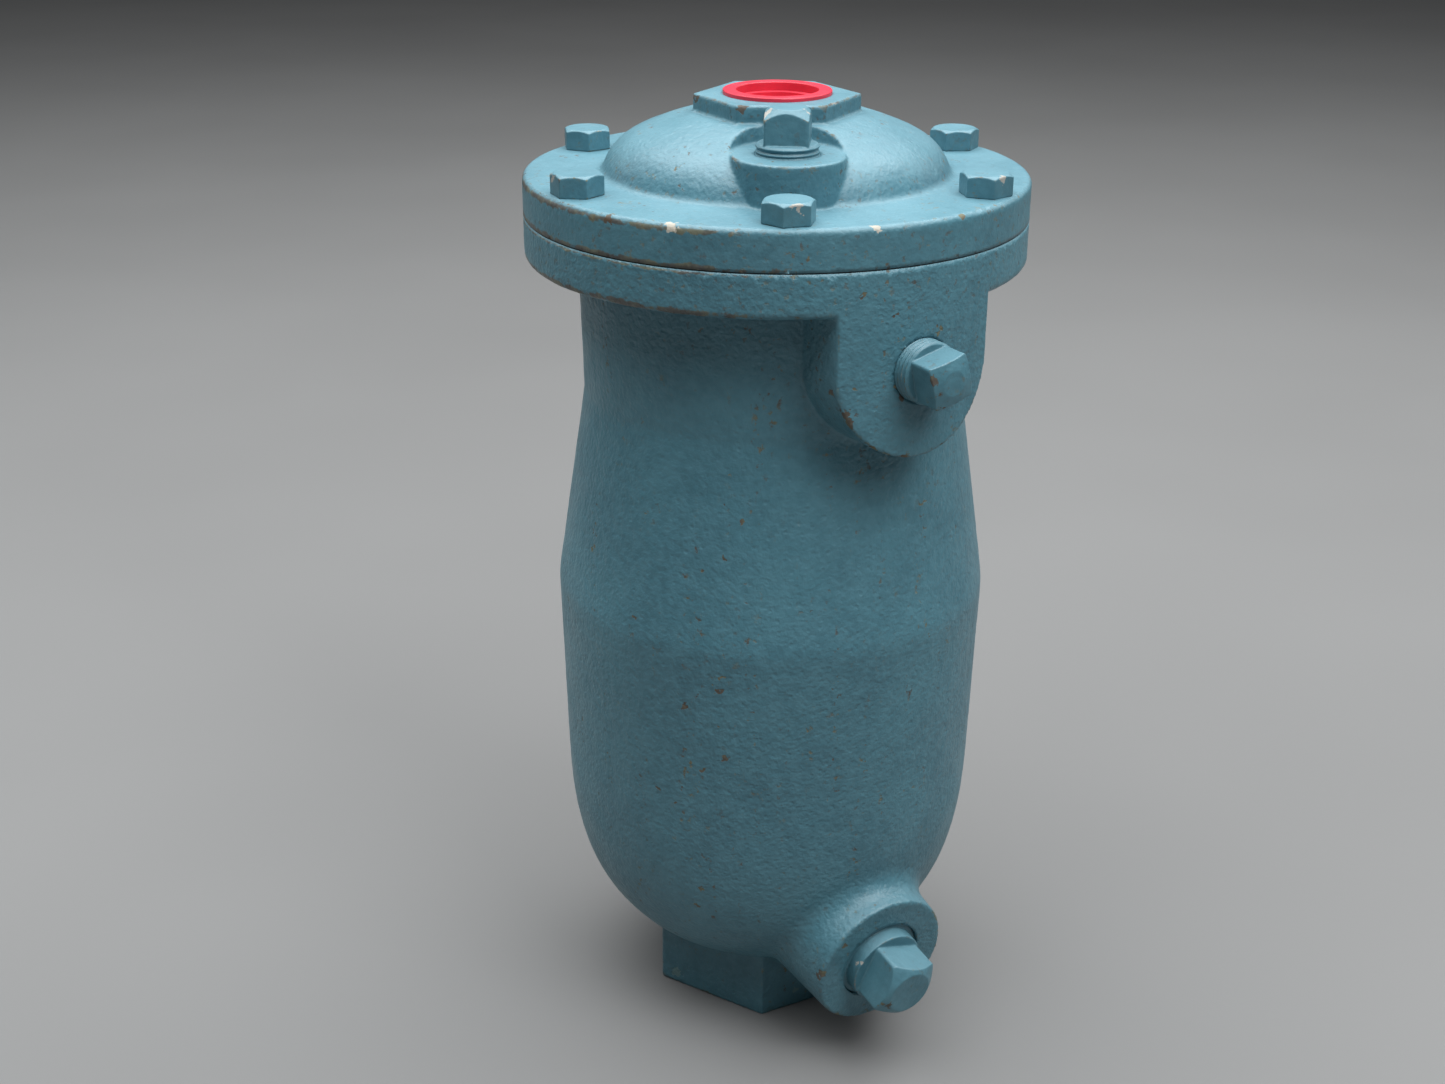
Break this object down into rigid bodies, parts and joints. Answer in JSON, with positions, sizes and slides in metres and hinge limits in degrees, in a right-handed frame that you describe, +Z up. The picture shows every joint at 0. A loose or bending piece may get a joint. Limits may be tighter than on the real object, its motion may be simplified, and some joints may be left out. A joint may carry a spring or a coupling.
{
  "type": "air release valve",
  "caption": "Float-operated air release valve: tall cast body with hexagonal threaded inlet below, bolted domed cover with threaded outlet, and square-headed port plugs.",
  "frame": {"origin": "centre of the inlet boss's bottom face, at the mouth of the inlet thread", "axes": "+Z up along the body's axis, through inlet and outlet; -Y towards the front cover bolt and the cover port plug; the flush and drain ports point 30 degrees from -Y towards +X"},
  "size_m": [0.1778, 0.1835, 0.3546],
  "materials": {
    "painted_casting": "satin blue-green enamel over a sand-cast surface, rust specks at edges",
    "painted_fastener": "satin blue-green enamel, worn to bare steel on corners",
    "gasket_sheet": "matt dark fibre sheet",
    "red_cap": "moulded red polyethylene",
    "stainless": "machined stainless",
    "button_rubber": "moulded black rubber",
    "float_steel": "spun stainless"
  },
  "bodies": {
    "valve_body": {"body_casting": "painted_casting", "cover_casting": "painted_casting", "cover_gasket": "gasket_sheet", "cover_bolts": "painted_fastener", "orifice_seat": "stainless", "lever_bracket": "stainless", "bracket_lock_washers": "stainless", "bracket_screws": "stainless", "pivot_pins": "stainless", "pivot_pin_clips": "stainless"},
    "cover_plug": {"cover_port_plug": "painted_fastener"},
    "flush_plug": {"flush_port_plug": "painted_fastener"},
    "drain_plug_body": {"drain_plug": "painted_fastener"},
    "thread_protector": {"outlet_thread_protector": "red_cap"},
    "primary_lever_body": {"primary_lever": "stainless", "valve_button_holder": "stainless", "valve_button_disc": "button_rubber", "button_lock_nut": "stainless"},
    "float_lever_body": {"float_lever": "stainless", "link_pin": "stainless", "float_pin": "stainless", "float_pin_clips": "stainless"},
    "float_body": {"stem_eye": "stainless", "stem_lock_nuts": "stainless", "float_stem": "stainless", "float_boss": "stainless", "float_upper_half": "float_steel", "float_lower_half": "float_steel"}
  },
  "joints": [
    {"name": "cover_plug_unscrew", "type": "slide", "parent": "valve_body", "child": "cover_plug", "axis": [0, 0, 1], "range_m": [0, 0.02]},
    {"name": "flush_plug_unscrew", "type": "slide", "parent": "valve_body", "child": "flush_plug", "axis": [0.5, -0.866, 0], "range_m": [0, 0.02]},
    {"name": "drain_plug_unscrew", "type": "slide", "parent": "valve_body", "child": "drain_plug_body", "axis": [0.4926, -0.8531, -0.1719], "range_m": [0, 0.025]},
    {"name": "protector_pull", "type": "slide", "parent": "valve_body", "child": "thread_protector", "axis": [0, 0, 1], "range_m": [0, 0.02]},
    {"name": "float_lever_swing", "type": "hinge", "parent": "valve_body", "child": "float_lever_body", "pos_m": [0.03872, 0, 0.30032], "axis": [0, 1, 0], "range_deg": [0, 23.8]},
    {"name": "primary_lever_swing", "type": "hinge", "parent": "valve_body", "child": "primary_lever_body", "pos_m": [-0.022, 0, 0.303], "axis": [0, 1, 0], "range_deg": [-6.4, 0]},
    {"name": "float_hang", "type": "hinge", "parent": "float_lever_body", "child": "float_body", "pos_m": [0.00596, 0, 0.26805], "axis": [0, 1, 0], "range_deg": [-23.81, 0]}
  ],
  "couplings": [
    {"joint": "primary_lever_swing", "follows": "float_lever_swing", "ratio": -0.26849},
    {"joint": "float_hang", "follows": "float_lever_swing", "ratio": -1}
  ]
}
